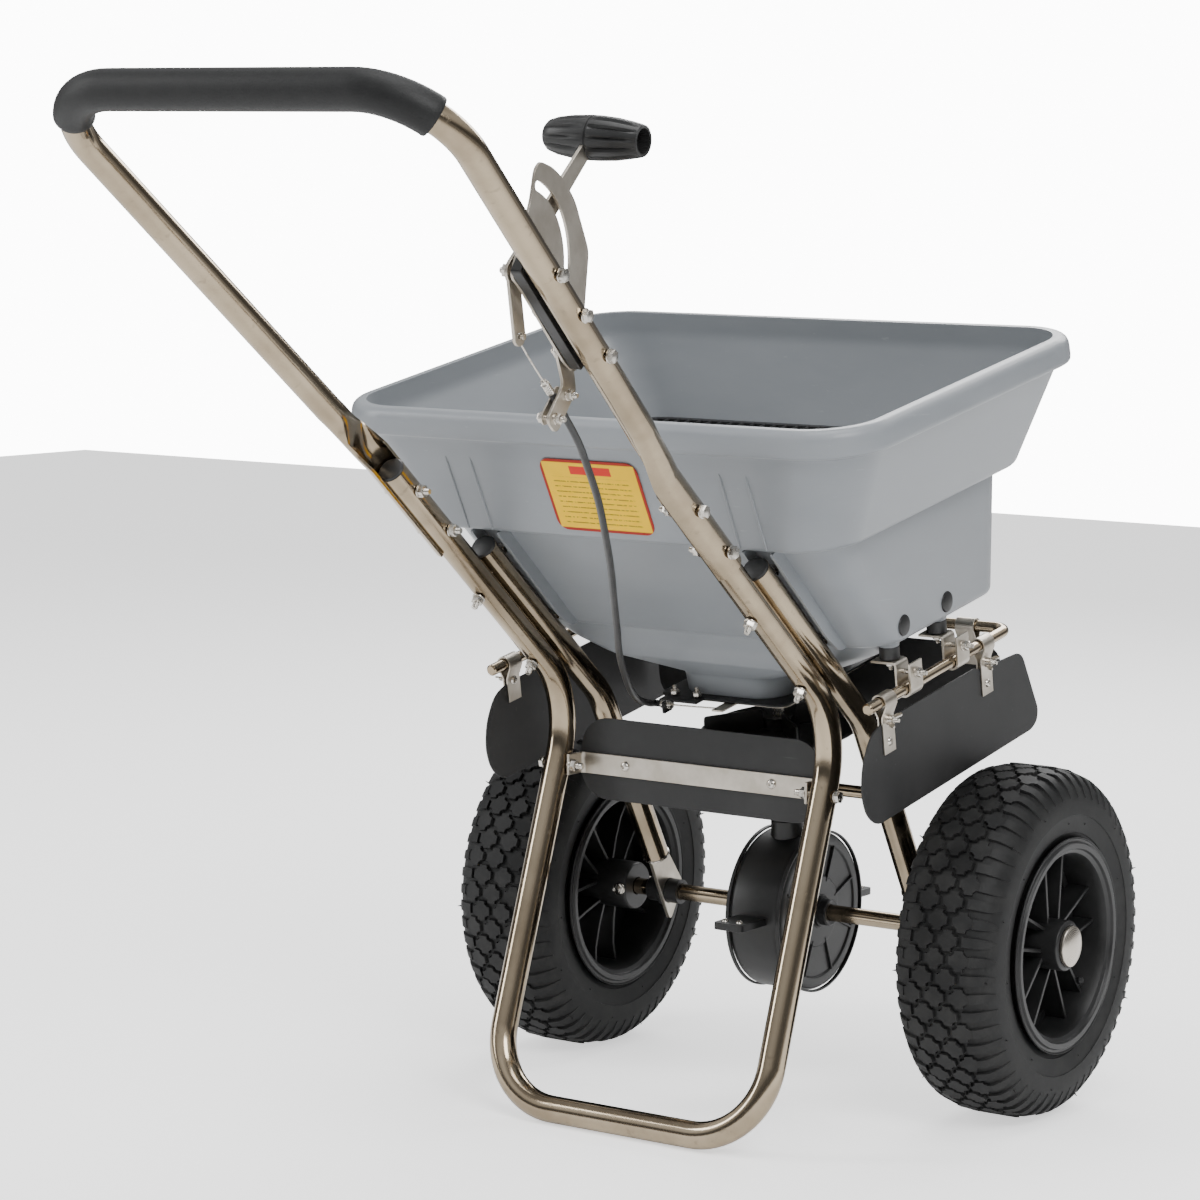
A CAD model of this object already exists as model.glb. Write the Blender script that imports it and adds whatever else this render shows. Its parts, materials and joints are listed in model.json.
"""Looks of the walk-behind broadcast spreader: finishes, detailed pieces, studio and camera."""

import json
import math

import bmesh
import bpy
from mathutils import Matrix, Vector


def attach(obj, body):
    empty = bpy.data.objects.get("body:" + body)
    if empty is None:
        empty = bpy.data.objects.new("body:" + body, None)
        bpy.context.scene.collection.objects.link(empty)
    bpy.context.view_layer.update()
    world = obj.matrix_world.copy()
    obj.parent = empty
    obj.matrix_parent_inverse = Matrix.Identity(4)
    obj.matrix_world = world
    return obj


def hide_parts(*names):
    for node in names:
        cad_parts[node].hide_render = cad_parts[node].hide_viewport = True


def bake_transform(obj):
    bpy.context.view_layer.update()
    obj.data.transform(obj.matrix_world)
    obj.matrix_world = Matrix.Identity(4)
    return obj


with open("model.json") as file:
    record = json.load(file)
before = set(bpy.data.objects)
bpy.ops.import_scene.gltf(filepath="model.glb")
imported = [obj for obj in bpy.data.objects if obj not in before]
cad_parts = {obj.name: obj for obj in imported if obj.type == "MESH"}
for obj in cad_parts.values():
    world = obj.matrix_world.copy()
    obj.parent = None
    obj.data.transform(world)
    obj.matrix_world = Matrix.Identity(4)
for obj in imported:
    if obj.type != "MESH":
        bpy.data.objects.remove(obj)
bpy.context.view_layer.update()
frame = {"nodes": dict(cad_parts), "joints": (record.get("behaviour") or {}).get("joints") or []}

# ---- driving sizes, in metres --------------------------------------------------------------------
TUBE_R = 0.0127
TUBE_WALL = 0.0015
TUBE_SIDES = 40
SLOPE = math.radians(38.8)
LEG_LEAN = math.radians(18.8)
STRUT_SLOPE = math.radians(59.2)
LEG_X = 0.147
JOINT_Y, JOINT_Z = -0.3887, 0.5543
STAND_TOP_Y, STAND_BEND = -0.460, 0.085
FOOT_Y, FOOT_BEND = -0.301, 0.070
STRUT_TOP_Y, STRUT_BEND, STRUT_STOP = -0.3206, 0.090, 0.046
TUBE_SPACE = 2 * TUBE_R + 0.0008
HANDLE_END_Y, CRIMP_LOW_Y, CRIMP_HIGH_Y = -0.372, -0.475, -0.530
GRIP_Y, GRIP_HALF, HANDLE_FLARE = -0.8624, 0.1963, 0.102
HANDLE_BEND, GRIP_R = 0.070, 0.0170
HANDLE_BOLTS_Y = {"lower": JOINT_Y, "upper": -0.4362}
STRUT_BOLTS_Y = {"lower": -0.2318, "upper": -0.3180}
LEG_BOLT_Y, LEG_BOLT_Z = -0.1973, 0.3171
PLATE_THICK, PLATE_LAP, PLATE_BORE = 0.004, 0.022, 0.0125
STRUT_HOLE_Y = -0.2990
STRAP_Y, STRAP_Z, STRAP_TALL, STRAP_THICK = -0.1785, 0.318, 0.020, 0.003
STRAP_FLAP, STRAP_BEND, STRAP_SCREW_X = 0.024, 0.006, 0.081
GUARD_HALF, GUARD_LOW, GUARD_HIGH, GUARD_THICK, GUARD_ROUND = 0.1335, 0.284, 0.362, 0.0025, 0.030
BRACE_Z, BRACE_R = 0.302, 0.006
WHEEL_R, WHEEL_X = 0.165, 0.2466
ROD_R, ROD_X, ROD_W, ROD_REAR, ROD_FRONT = 0.0055, 0.2065, 0.4377, -0.1472, 0.120
GAP = 0.0003
SEAT = 0.0009                      # from a round tube to the head or nut on it

# ---- frames: the machine's own, the leaning head's and the control's -----------------------------
joints = {joint["name"]: joint for joint in frame["joints"]}
axle = Vector(joints["axle_turn"]["pos_m"])
MACHINE = Matrix.Translation((0, axle.y, 0))
head_up = Vector(joints["impeller_turn"]["axis"])
TILT = math.atan2(-head_up.y, head_up.z)
HEAD = MACHINE @ Matrix.Rotation(TILT, 4, "X")
SHAFT_V = axle.z * math.sin(TILT)
lever_axis = Vector(joints["lever_turn"]["axis"])
pivot = Vector(joints["lever_turn"]["pos_m"])
square_up = Vector((0, math.sin(SLOPE), math.cos(SLOPE)))
CONTROL = Matrix.Translation(pivot) @ Matrix.Rotation(math.acos(lever_axis.x), 4, square_up)


# ---- shader maths --------------------------------------------------------------------------------
class Value:
    """A number or colour socket of a finish, with Python's arithmetic."""

    def __init__(self, finish, socket):
        self.finish, self.socket = finish, socket

    def _math(self, operation, *values):
        return self.finish.node("ShaderNodeMath", {"operation": operation}, dict(enumerate(values)))

    def __add__(self, other):
        return self._math("ADD", self, other)

    def __sub__(self, other):
        return self._math("SUBTRACT", self, other)

    def __rsub__(self, other):
        return self._math("SUBTRACT", other, self)

    def __mul__(self, other):
        return self._math("MULTIPLY", self, other)

    def __pow__(self, other):
        return self._math("POWER", self, other)

    __radd__ = __add__
    __rmul__ = __mul__

    def over(self, edge, soft=0.02):
        """1 where the value is above edge, 0 below it."""
        settings = {"interpolation_type": "SMOOTHSTEP"}
        values = {"Value": self, "From Min": edge - soft, "From Max": edge + soft}
        return self.finish.node("ShaderNodeMapRange", settings, values)

    def mod(self, other):
        return self._math("FLOORED_MODULO", self, other)

    def size(self):
        return self._math("ABSOLUTE", self)


class Finish:
    """A material under construction, with its Principled shader."""

    def __init__(self, name, **settings):
        self.material = bpy.data.materials.new(name)
        self.material.use_nodes = True
        self.nodes = self.material.node_tree.nodes
        self.links = self.material.node_tree.links
        self.shader = self.nodes["Principled BSDF"]
        for key, value in settings.items():
            self.shader.inputs[key.replace("_", " ")].default_value = value

    def node(self, kind, settings=None, values=None, out=0):
        made = self.nodes.new(kind)
        for key, value in (settings or {}).items():
            setattr(made, key, value)
        for key, value in (values or {}).items():
            self.put(made.inputs[key], value)
        return Value(self, made.outputs[out])

    def put(self, socket, value):
        if isinstance(value, Value):
            self.links.new(value.socket, socket)
        elif isinstance(value, tuple) and len(value) == 3 and socket.type == "RGBA":
            socket.default_value = (*value, 1.0)
        else:
            socket.default_value = value

    def feed(self, **values):
        for key, value in values.items():
            self.put(self.shader.inputs[key.replace("_", " ")], value)

    def place(self, scale=(1, 1, 1), turn=(0, 0, 0)):
        spot = self.node("ShaderNodeTexCoord", out=3)
        return self.node("ShaderNodeMapping", None, {"Vector": spot, "Scale": scale, "Rotation": turn})

    def noise(self, scale, detail=3.0, rough=0.5, vector=None):
        values = {"Scale": scale, "Detail": detail, "Roughness": rough, "Vector": vector or self.place()}
        return self.node("ShaderNodeTexNoise", None, values)

    def cells(self, scale, vector=None):
        values = {"Scale": scale, "Vector": vector or self.place()}
        return self.node("ShaderNodeTexVoronoi", None, values)

    def mix(self, first, second, share):
        return self.node("ShaderNodeMix", {"data_type": "RGBA"}, {0: share, 6: first, 7: second}, out=2)

    def bump(self, height, distance, strength=1.0):
        values = {"Height": height, "Distance": distance, "Strength": strength}
        self.feed(Normal=self.node("ShaderNodeBump", None, values))

    def attribute(self, name):
        return self.node("ShaderNodeAttribute", {"attribute_name": name}, out=2)

    def axes(self):
        split = self.node("ShaderNodeSeparateXYZ", None, {0: self.place()})
        outs = split.socket.node.outputs
        return [Value(self, out) for out in outs]


# ---- finishes ------------------------------------------------------------------------------------
def tube_finish():
    """Polished stainless tube: faint lines along its length, smears and a few marks."""
    made = Finish("polished_tube", Metallic=1.0)
    run, turn = made.attribute("run"), made.attribute("turn")
    along = made.node("ShaderNodeCombineXYZ", None, {"X": run * 6.0, "Y": turn * 220.0})
    lines = made.noise(1.0, 4.0, 0.6, along)
    smears = made.noise(9.0, 5.0, 0.6)
    marks = made.noise(70.0, 2.0, 0.7).over(0.68, 0.04)
    light, deep = (0.43, 0.352, 0.252), (0.30, 0.240, 0.165)
    steel = made.mix(light, deep, smears.over(0.52, 0.16))
    made.feed(Base_Color=made.mix(steel, (0.22, 0.18, 0.13), marks * 0.35))
    made.feed(Roughness=smears * 0.09 + lines * 0.08 + marks * 0.10 + 0.055)
    made.bump(lines + marks * -0.5, 0.00004, 0.35)
    return made.material


def plate_finish():
    """Satin stainless sheet, brushed one way, darker in patches."""
    made = Finish("brushed_plate", Metallic=1.0)
    lines = made.noise(1.0, 3.0, 0.6, made.place((1500.0, 60.0, 1500.0), (0.6, 0.1, 0.0)))
    patches = made.noise(28.0, 4.0, 0.6)
    made.feed(Base_Color=made.mix((0.56, 0.520, 0.455), (0.42, 0.380, 0.320), patches.over(0.5, 0.2)))
    made.feed(Roughness=lines * 0.16 + patches * 0.12 + 0.22)
    made.bump(lines, 0.00003, 0.4)
    return made.material


def bolt_finish():
    """Bright fastener steel with a little dirt in its grain."""
    made = Finish("bright_bolt", Metallic=1.0)
    grain = made.noise(420.0, 3.0, 0.6)
    dirt = made.noise(160.0, 3.0, 0.6).over(0.60, 0.08)
    made.feed(Base_Color=made.mix((0.60, 0.570, 0.52), (0.26, 0.23, 0.18), dirt * 0.5))
    made.feed(Roughness=grain * 0.20 + dirt * 0.20 + 0.14)
    made.bump(grain, 0.00003, 0.4)
    return made.material


def cap_finish():
    """Spun stainless cap: fine rings round the wheel's axis."""
    made = Finish("spun_cap", Metallic=1.0, Base_Color=(0.60, 0.55, 0.48, 1.0))
    _, y, z = made.axes()
    r = ((y - axle.y) * (y - axle.y) + (z - axle.z) * (z - axle.z)) ** 0.5
    rings = made.node("ShaderNodeMath", {"operation": "SINE"}, {0: r * 4000.0})
    made.feed(Roughness=rings * 0.02 + made.noise(18.0) * 0.05 + 0.26)
    made.bump(rings, 0.000002, 0.4)
    return made.material


def hopper_finish():
    """Blue-grey moulded plastic: fine orange peel, pale scuffs and faint flow marks."""
    made = Finish("hopper_plastic", Specular_IOR_Level=0.45)
    flow = made.noise(5.0, 4.0, 0.55, made.place((1.0, 1.0, 3.0)))
    peel = made.noise(900.0, 2.0, 0.5)
    scuffs = made.noise(1.0, 3.0, 0.7, made.place((60.0, 14.0, 240.0), (0.3, 0.4, 0.2))).over(0.70, 0.03)
    specks = made.cells(150.0).over(0.05, 0.015)
    base = made.mix((0.215, 0.231, 0.248), (0.246, 0.262, 0.279), flow.over(0.5, 0.25))
    worn = made.mix(base, (0.36, 0.39, 0.41), scuffs * 0.25)
    made.feed(Base_Color=made.mix((0.15, 0.165, 0.18), worn, specks * 0.4 + 0.6))
    made.feed(Roughness=flow * 0.10 + scuffs * 0.12 + peel * 0.05 + 0.27)
    made.bump(peel + flow * 2.0, 0.00005, 0.30)
    return made.material


def sheet_finish():
    """Dull black sheet, finely grained, with dusty smears."""
    made = Finish("dull_black_sheet", Specular_IOR_Level=0.4)
    grain = made.noise(1600.0, 2.0, 0.6)
    dust = made.noise(14.0, 5.0, 0.6)
    lines = made.noise(1.0, 2.0, 0.7, made.place((12.0, 160.0, 160.0), (0.2, 0.2, 0.1))).over(0.72, 0.03)
    paint = made.mix((0.016, 0.0162, 0.0165), (0.026, 0.026, 0.026), dust.over(0.5, 0.2))
    made.feed(Base_Color=made.mix(paint, (0.08, 0.08, 0.08), lines * 0.25))
    made.feed(Roughness=grain * 0.10 + dust * 0.14 + 0.44)
    made.bump(grain, 0.00006, 0.35)
    return made.material


def moulded_finish():
    """Black moulded plastic of the rims, gearbox and plugs: satin, with a pale bloom."""
    made = Finish("black_moulding", Specular_IOR_Level=0.5)
    grain = made.noise(1300.0, 2.0, 0.6)
    bloom = made.noise(22.0, 4.0, 0.6)
    made.feed(Base_Color=made.mix((0.0080, 0.0083, 0.0085), (0.015, 0.015, 0.0152), bloom.over(0.55, 0.2)))
    made.feed(Roughness=bloom * 0.16 + grain * 0.06 + 0.30)
    made.bump(grain, 0.00005, 0.30)
    return made.material


def tyre_finish():
    """Matt tyre rubber: dusty on the tread's edges, with a fine mould grain."""
    made = Finish("tyre_rubber", Specular_IOR_Level=0.35)
    grain = made.noise(1100.0, 3.0, 0.6)
    dust = made.noise(36.0, 5.0, 0.62)
    made.feed(Base_Color=made.mix((0.0060, 0.0062, 0.0064), (0.018, 0.018, 0.0175), dust.over(0.56, 0.18)))
    made.feed(Roughness=dust * 0.22 + grain * 0.10 + 0.46)
    made.bump(grain + dust * 1.5, 0.00010, 0.35)
    return made.material


def foam_finish():
    """Dark foam grip: closed cells and soft creases."""
    made = Finish("foam_grip", Specular_IOR_Level=0.3)
    pores = made.cells(900.0)
    soft = made.noise(60.0, 4.0, 0.6)
    made.feed(Base_Color=made.mix((0.0085, 0.0088, 0.0090), (0.0125, 0.013, 0.0132), soft.over(0.5, 0.25)))
    made.feed(Roughness=soft * 0.10 + pores * 0.14 + 0.40)
    made.bump(pores + soft * 2.0, 0.00018, 0.45)
    return made.material


def sheath_finish():
    """Black cable sheath, slightly glossy, its lay just showing."""
    made = Finish("cable_sheath")
    run = made.attribute("run")
    lay = made.node("ShaderNodeMath", {"operation": "SINE"}, {0: run * 1800.0})
    soft = made.noise(90.0, 3.0, 0.6)
    made.feed(Base_Color=made.mix((0.010, 0.0105, 0.011), (0.024, 0.024, 0.025), soft.over(0.5, 0.2)))
    made.feed(Roughness=soft * 0.14 + 0.30)
    made.bump(lay, 0.00004, 0.25)
    return made.material


def screen_finish():
    """Black wire cloth."""
    made = Finish("screen_black")
    grain = made.noise(700.0, 3.0, 0.6)
    made.feed(Base_Color=made.mix((0.008, 0.008, 0.009), (0.03, 0.03, 0.03), grain.over(0.55, 0.1)))
    made.feed(Roughness=grain * 0.2 + 0.35)
    made.bump(grain, 0.0001, 0.4)
    return made.material


def label_finish():
    """A plain yellow notice: dark-red edge, a red band and rows of dark dashes, with no writing."""
    made = Finish("notice_label", Specular_IOR_Level=0.15, Emission_Strength=0.12)
    u, v = made.attribute("run"), made.attribute("turn")
    from_edge_u = 0.5 - (u - 0.5).size()
    from_edge_v = 0.5 - (v - 0.5).size()
    border = 1 - from_edge_u.over(0.028, 0.004) * from_edge_v.over(0.040, 0.006)
    band = (v.over(0.80, 0.004) - v.over(0.915, 0.004)) * (u.over(0.30, 0.003) - u.over(0.72, 0.003))
    row = ((v - 0.08) * 10.0).mod(0.72)
    rows = (row.over(0.30, 0.04) - row.over(0.46, 0.04)) * (v.over(0.10, 0.004) - v.over(0.76, 0.004))
    spread = made.node("ShaderNodeCombineXYZ", None, {"X": u * 46.0, "Y": v * 14.0})
    gaps = made.noise(1.0, 2.0, 0.8, spread).over(0.44, 0.03)
    words = rows * gaps * (u.over(0.10, 0.004) - u.over(0.88, 0.02))
    fade = made.noise(40.0, 3.0, 0.6)
    yellow = made.mix((0.82, 0.50, 0.0), (0.76, 0.46, 0.0), fade.over(0.5, 0.2))
    inked = made.mix(made.mix(yellow, (0.10, 0.08, 0.01), words * 0.8), (0.55, 0.025, 0.015), band)
    printed = made.mix(inked, (0.30, 0.020, 0.010), border)
    made.feed(Base_Color=printed, Emission_Color=printed)
    made.feed(Roughness=fade * 0.10 + 0.24)
    made.bump(fade, 0.00003, 0.2)
    return made.material


TUBE, PLATE, BOLT, CAP = tube_finish(), plate_finish(), bolt_finish(), cap_finish()
HOPPER, SHEET, MOULDED, TYRE = hopper_finish(), sheet_finish(), moulded_finish(), tyre_finish()
FOAM, SHEATH, SCREEN, LABEL = foam_finish(), sheath_finish(), screen_finish(), label_finish()


# ---- modelling helpers ---------------------------------------------------------------------------
MERGE = 0.000002                   # points this close are made one


def piece(name, parts, finish, body, stands_for=(), smooth=32, chamfer=0.0):
    """One visible object from one or more shapes."""
    whole = bmesh.new()
    for layer in ("run", "turn"):
        whole.verts.layers.float.new(layer)
    for part in parts if isinstance(parts, (list, tuple)) else [parts]:
        held = bpy.data.meshes.new("held")
        part.to_mesh(held)
        part.free()
        whole.from_mesh(held)
        bpy.data.meshes.remove(held)
    bmesh.ops.remove_doubles(whole, verts=whole.verts, dist=MERGE)
    bmesh.ops.recalc_face_normals(whole, faces=whole.faces)
    mesh = bpy.data.meshes.new(name)
    whole.to_mesh(mesh)
    whole.free()
    mesh.materials.append(finish)
    mesh.shade_smooth()
    mesh.set_sharp_from_angle(angle=math.radians(smooth))
    made = bpy.data.objects.new(name, mesh)
    bpy.context.scene.collection.objects.link(made)
    if chamfer:
        edge = made.modifiers.new("edge", "BEVEL")
        edge.width, edge.segments, edge.limit_method = chamfer, 2, "ANGLE"
        edge.angle_limit = math.radians(40)
        edge.harden_normals = True
    if body:
        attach(made, body)
    if stands_for:
        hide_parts(*stands_for)
    return made


def placed(bm, matrix):
    bmesh.ops.transform(bm, matrix=matrix, verts=bm.verts)
    return bm


def axes_at(origin, z, x=None):
    """A matrix that puts a shape's Z along z and its X towards x."""
    z = Vector(z).normalized()
    x = Vector(x) if x is not None else z.orthogonal()
    x = (x - z * x.dot(z)).normalized()
    y = z.cross(x)
    return Matrix.Translation(origin) @ Matrix((x, y, z)).transposed().to_4x4()


X_AXIS = Matrix.Rotation(math.pi / 2, 4, "Y")      # a turned shape's Z put along X
SIDE_VIEW = Matrix(((0, 0, 1, 0), (1, 0, 0, 0), (0, 1, 0, 0), (0, 0, 0, 1)))      # XY put in YZ
REAR_VIEW = Matrix(((1, 0, 0, 0), (0, 0, -1, 0), (0, 1, 0, 0), (0, 0, 0, 1)))     # XY put in XZ


def lathe(profile, steps=48):
    """A profile of (radius, height) spun round Z."""
    bm = bmesh.new()
    verts = [bm.verts.new((radius, 0, height)) for radius, height in profile]
    edges = [bm.edges.new(pair) for pair in zip(verts, verts[1:])]
    bmesh.ops.spin(bm, geom=verts + edges, axis=(0, 0, 1), cent=(0, 0, 0), angle=math.tau, steps=steps,
                   use_merge=True)
    bmesh.ops.remove_doubles(bm, verts=bm.verts, dist=MERGE)
    return bm


def ring(profile, steps=48):
    return lathe([*profile, profile[0]], steps)


def slab(outline, low, high, holes=()):
    """A flat outline in XY, less its holes, drawn out along Z."""
    bm = bmesh.new()
    if holes:
        edges = []
        for loop in (outline, *holes):
            verts = [bm.verts.new((x, y, low)) for x, y in loop]
            edges += [bm.edges.new((verts[i - 1], verts[i])) for i in range(len(verts))]
        bmesh.ops.triangle_fill(bm, edges=edges, use_beauty=True)
    else:
        bm.faces.new([bm.verts.new((x, y, low)) for x, y in outline])
    grown = bmesh.ops.extrude_face_region(bm, geom=list(bm.faces))["geom"]
    bmesh.ops.translate(bm, verts=[g for g in grown if isinstance(g, bmesh.types.BMVert)],
                        vec=(0, 0, high - low))
    return bm


def block(low, high):
    bm = bmesh.new()
    bmesh.ops.create_cube(bm, size=1.0)
    low, high = Vector(low), Vector(high)
    size = high - low
    matrix = Matrix.Translation((low + high) / 2) @ Matrix.Diagonal((*size, 1.0))
    return placed(bm, matrix)


def arc(centre, radius, start, end, steps):
    return [(centre[0] + radius * math.cos(start + (end - start) * i / steps),
             centre[1] + radius * math.sin(start + (end - start) * i / steps)) for i in range(steps + 1)]


def circle(centre, radius, steps=20):
    return arc(centre, radius, 0, math.tau, steps)[:-1]


def round_box(half_x, y_low, y_high, radius, steps=6):
    """A rectangle with round corners, symmetric in X."""
    quarter = math.pi / 2
    spots = ((half_x - radius, y_high - radius), (radius - half_x, y_high - radius),
             (radius - half_x, y_low + radius), (half_x - radius, y_low + radius))
    return [p for i, c in enumerate(spots) for p in arc(c, radius, i * quarter, (i + 1) * quarter, steps)]


def rounded(outline, radius, steps=5):
    """An outline with each of its corners turned into an arc of radius, or of what its sides allow."""
    made = []
    count = len(outline)
    for i, corner in enumerate(outline):
        here = Vector(corner)
        back, on = Vector(outline[i - 1]) - here, Vector(outline[(i + 1) % count]) - here
        reach = min(radius, 0.45 * back.length, 0.45 * on.length)
        start, end = here + back.normalized() * reach, here + on.normalized() * reach
        for k in range(steps + 1):
            t = k / steps
            spot = start * (1 - t) ** 2 + here * 2 * t * (1 - t) + end * t * t
            made.append((spot.x, spot.y))
    return made


def directions(points, side):
    """Along, side and up at each point of a path, turning no more than the path does."""
    count = len(points)
    steps = [(b - a).normalized() for a, b in zip(points, points[1:])]
    made = []
    before = steps[0]
    side = Vector(side)
    for i in range(count):
        t = steps[0] if i == 0 else steps[-1] if i == count - 1 else (steps[i - 1] + steps[i]).normalized()
        side = before.rotation_difference(t) @ side
        side = (side - t * side.dot(t)).normalized()
        made.append((t, side, t.cross(side)))
        before = t
    return made


def loft(rings):
    """Rings of points, each drawn out of the one before it; how far along and round is kept on each point."""
    bm = bmesh.new()
    run_layer, turn_layer = (bm.verts.layers.float.new(name) for name in ("run", "turn"))
    place = bm.verts.layers.int.new("place")
    count = len(rings[0])
    verts = [bm.verts.new(point) for point in rings[0]]
    for i, vert in enumerate(verts):
        vert[place], vert[turn_layer] = i, abs(2 * i / count - 1)
    edges = [bm.edges.new((verts[i - 1], verts[i])) for i in range(count)]
    bm.faces.new(verts)
    run = 0.0
    for before, points in zip(rings, rings[1:]):
        run += (Vector(points[0]) - Vector(before[0])).length
        made = bmesh.ops.extrude_edge_only(bm, edges=edges)["geom"]
        verts = [g for g in made if isinstance(g, bmesh.types.BMVert)]
        fresh = set(verts)
        edges = [g for g in made if isinstance(g, bmesh.types.BMEdge) and fresh.issuperset(g.verts)]
        for vert in verts:
            vert.co, vert[run_layer] = points[vert[place]], run
    bm.faces.new(sorted(verts, key=lambda vert: vert[place]))
    return bm


def pipe(points, radius, sides=TUBE_SIDES, side=(1, 0, 0)):
    """A round bar or tube along a path; its radius may be given for each point."""
    points = [Vector(p) for p in points]
    radii = radius if isinstance(radius, list) else [radius] * len(points)
    circle = [(math.cos(math.tau * i / sides), math.sin(math.tau * i / sides)) for i in range(sides)]
    return loft([[p + (s * a + u * b) * r for a, b in circle]
                 for p, r, (_, s, u) in zip(points, radii, directions(points, side))])


def bent(corners, radii, steps=12):
    """A path's corners, each inner one replaced by an arc of its radius."""
    points = [Vector(corners[0])]
    for before, corner, after, radius in zip(corners, corners[1:], corners[2:], radii):
        corner = Vector(corner)
        back = (Vector(before) - corner).normalized()
        on = (Vector(after) - corner).normalized()
        half = back.angle(on) / 2
        reach = radius / math.tan(half)
        centre = corner + (back + on).normalized() * (radius / math.sin(half))
        first = corner + back * reach - centre
        turn_axis = first.cross(corner + on * reach - centre).normalized()
        points += [centre + Matrix.Rotation((math.pi - 2 * half) * i / steps, 3, turn_axis) @ first
                   for i in range(steps + 1)]
    points.append(Vector(corners[-1]))
    return points


def strip(path, thickness, low, high):
    """A bent flat bar: the line along its middle in XY, and its width along Z."""
    left, right = [], []
    for i, (x, y) in enumerate(path):
        steps = [Vector((x - path[i - 1][0], y - path[i - 1][1])).normalized()] if i else []
        if i < len(path) - 1:
            steps.append(Vector((path[i + 1][0] - x, path[i + 1][1] - y)).normalized())
        along = sum(steps, Vector((0, 0))).normalized()
        across = Vector((-along.y, along.x))
        out = across * thickness / 2 / across.dot(Vector((-steps[0].y, steps[0].x)))
        left.append((x + out.x, y + out.y))
        right.append((x - out.x, y - out.y))
    return slab(left + right[::-1], low, high)


def hexagon(across, tall, chamfer=0.0006):
    """A six-sided head or nut on Z = 0, with its upper corners turned off."""
    bm = bmesh.new()
    bmesh.ops.create_cone(bm, cap_ends=True, segments=6, radius1=across / math.sqrt(3),
                          radius2=across / math.sqrt(3),
                          depth=tall, matrix=Matrix.Translation((0, 0, tall / 2)))
    top = [e for e in bm.edges if all(v.co.z > tall * 0.9 for v in e.verts)]
    bmesh.ops.bevel(bm, geom=top, offset=chamfer, segments=2, profile=0.5, affect="EDGES", material=-1)
    return bm


def thread(radius, low, high, pitch=0.0010, steps=16):
    """A threaded end as close rings, with a turned tip."""
    count = max(int((high - low) / pitch), 2)
    profile = [(0.0, low)]
    for i in range(count):
        at = low + i * pitch
        profile += [(radius, at + pitch * 0.15), (radius * 0.88, at + pitch * 0.65)]
    profile += [(radius * 0.8, high), (0.0, high)]
    return lathe(profile, steps)


def bolt_parts(start, direction, grip, tail=0.006, across=0.010, radius=0.003, dome=0.0010, washer=True,
               turn=0.0):
    """A hexagon bolt from start along direction, with its washers, its nut and its end."""
    head_tall, nut_tall, washer_tall = across * 0.42, across * 0.50, 0.0010
    z = Vector(direction).normalized()
    base = axes_at(start, z) @ Matrix.Rotation(turn, 4, "Z")
    flip = Matrix.Rotation(math.pi, 4, "X")
    head = placed(hexagon(across, head_tall), base @ Matrix.Translation((0, 0, -washer_tall)) @ flip)
    raised = dome * 0.3
    crown = [(0.0, raised), (across * 0.30, raised), (across * 0.36, 0.0), (across * 0.36, -0.0005),
             (0.0, -0.0005)]
    crown = placed(lathe(crown, 24), base @ Matrix.Translation((0, 0, -washer_tall - head_tall)) @ flip)
    shank = lathe([(0.0, -0.0008), (radius, -0.0008), (radius, grip), (0.0, grip)], 16)
    parts = [head, crown, placed(shank, base)]
    ring_profile = [(radius, 0.0), (across * 0.62, 0.0), (across * 0.62, washer_tall * 0.8),
                    (across * 0.58, washer_tall),
                    (radius, washer_tall)]
    if washer:
        parts.append(placed(ring(ring_profile, 28), base @ flip))
    parts.append(placed(ring(ring_profile, 28), base @ Matrix.Translation((0, 0, grip))))
    nut = base @ Matrix.Translation((0, 0, grip + washer_tall)) @ Matrix.Rotation(0.35, 4, "Z")
    parts.append(placed(hexagon(across, nut_tall), nut))
    nut_top = grip + washer_tall + nut_tall
    parts.append(placed(thread(radius, nut_top - 0.0005, nut_top + tail), base))
    return parts


def screw_parts(spot, direction, radius=0.0050, tall=0.0030, drive=True):
    """A round-headed screw or rivet lying on a face."""
    profile = [(0.0, tall * 0.55 if drive else tall), (radius * 0.30, tall * 0.55 if drive else tall),
               (radius * 0.36, tall), (radius * 0.62, tall * 0.86), (radius * 0.88, tall * 0.50),
               (radius, 0.0),
               (0.0, 0.0)]
    return [placed(lathe(profile, 28), axes_at(spot, direction))]


# ---- places in the side view ---------------------------------------------------------------------
def slope_z(y, lift=0.0):
    return JOINT_Z - math.tan(SLOPE) * (y - JOINT_Y) + lift / math.cos(SLOPE)


def stand_bend():
    lean, fall = math.tan(LEG_LEAN), math.tan(SLOPE)
    z = (JOINT_Z - fall * (FOOT_Y - lean * TUBE_R - JOINT_Y)) / (1 + fall * lean)
    return FOOT_Y + lean * (z - TUBE_R), z


def strut_bend():
    low, high = math.tan(STRUT_SLOPE), math.tan(SLOPE)
    y = (slope_z(0.0, TUBE_SPACE) - axle.z) / (high - low)
    return y, axle.z - low * y


def handle_x(y):
    return GRIP_HALF - HANDLE_FLARE * (y - GRIP_Y)


def machine(points):
    return [MACHINE @ Vector(p) for p in points]


def mirrored(points):
    return [Vector((-p.x, p.y, p.z)) for p in points]


def on_handle(a, n):
    c, s = math.cos(SLOPE), math.sin(SLOPE)
    return a * c + n * s, -a * s + n * c


down_slope = Vector((0, math.cos(SLOPE), -math.sin(SLOPE)))
SIDES = (("left", -1), ("right", 1))


# ---- frame tubes ---------------------------------------------------------------------------------
def tube_plug(spot, direction):
    profile = [(0.0, 0.0032), (0.0080, 0.0030), (0.0112, 0.0020), (0.0124, 0.0004), (0.0124, -0.0010),
               (0.0, -0.0010)]
    return placed(lathe(profile, 40), axes_at(spot, direction))


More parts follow.
